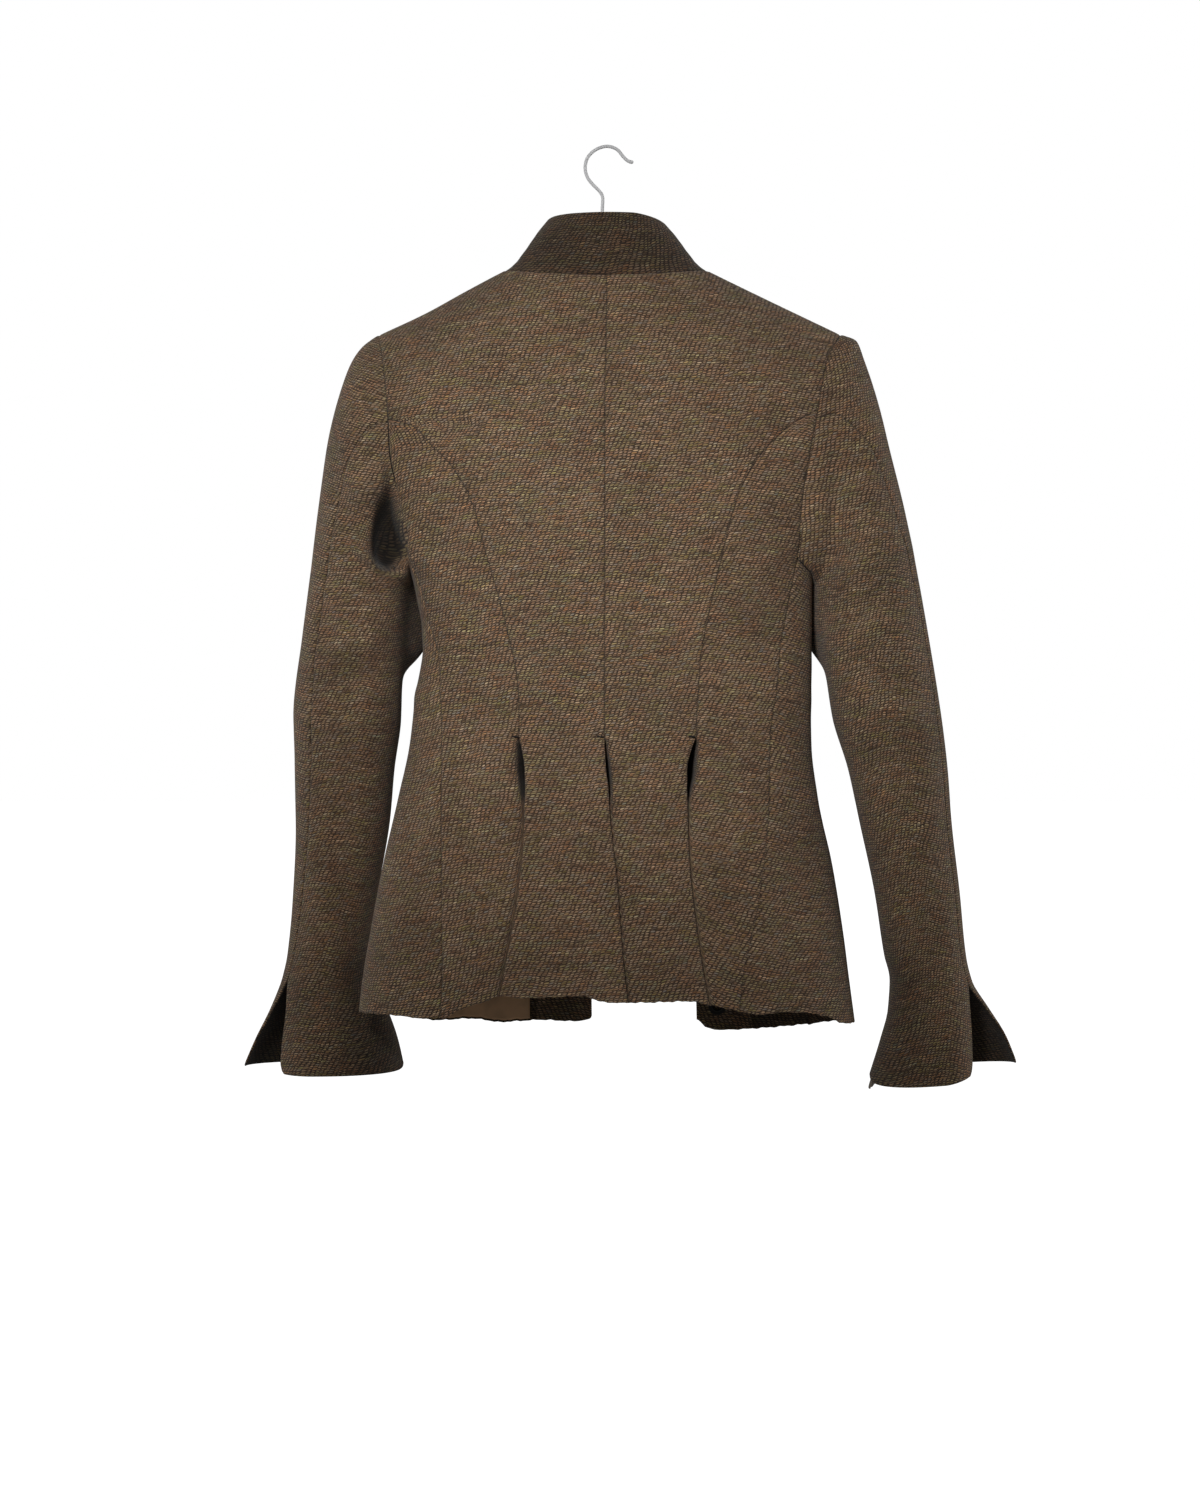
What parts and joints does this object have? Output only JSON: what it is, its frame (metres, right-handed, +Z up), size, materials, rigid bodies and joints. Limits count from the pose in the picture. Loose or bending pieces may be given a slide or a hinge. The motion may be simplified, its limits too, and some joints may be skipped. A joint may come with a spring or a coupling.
{
  "type": "tweed jacket on a wire-hook hanger",
  "caption": "Fitted tweed jacket with a stand collar, pleated back peplum and flared vented cuffs, hung open on a hanger with a wire hook.",
  "frame": {"origin": "the inside of the crown of the wire hook, where a rail carries it", "axes": "+Z up; +Y out of the jacket's back; +X towards the wearer's left"},
  "size_m": [0.6648, 0.2211, 0.802],
  "materials": {
    "tweed": "coarse matte brown tweed",
    "tweed_dark": "the same tweed, in a denser darker lie",
    "lining": "smooth satin lining",
    "cuff_lining": "taupe satin lining",
    "stud_metal": "dark enamelled press studs",
    "hook_steel": "bright plated wire",
    "hanger_finish": "plain black"
  },
  "bodies": {
    "root": {"back_left": "tweed", "back_right": "tweed", "side_back_left": "tweed", "side_back_right": "tweed", "front_left": "tweed", "front_right": "tweed", "side_left": "tweed", "side_right": "tweed", "upper_sleeve_left": "tweed", "under_sleeve_left": "tweed", "upper_sleeve_right": "tweed", "under_sleeve_right": "tweed", "stand_collar": "tweed_dark", "facing_left": "tweed_dark", "facing_right": "tweed_dark", "lining_left": "lining", "cuff_lining_tab": "cuff_lining", "stud_right_1": "stud_metal", "stud_right_2": "stud_metal", "stud_right_3": "stud_metal", "stud_right_4": "stud_metal", "stud_left_1": "stud_metal", "stud_left_2": "stud_metal", "stud_left_3": "stud_metal", "stud_left_4": "stud_metal", "hook": "hook_steel", "hanger_bar": "hanger_finish"}
  },
  "joints": []
}
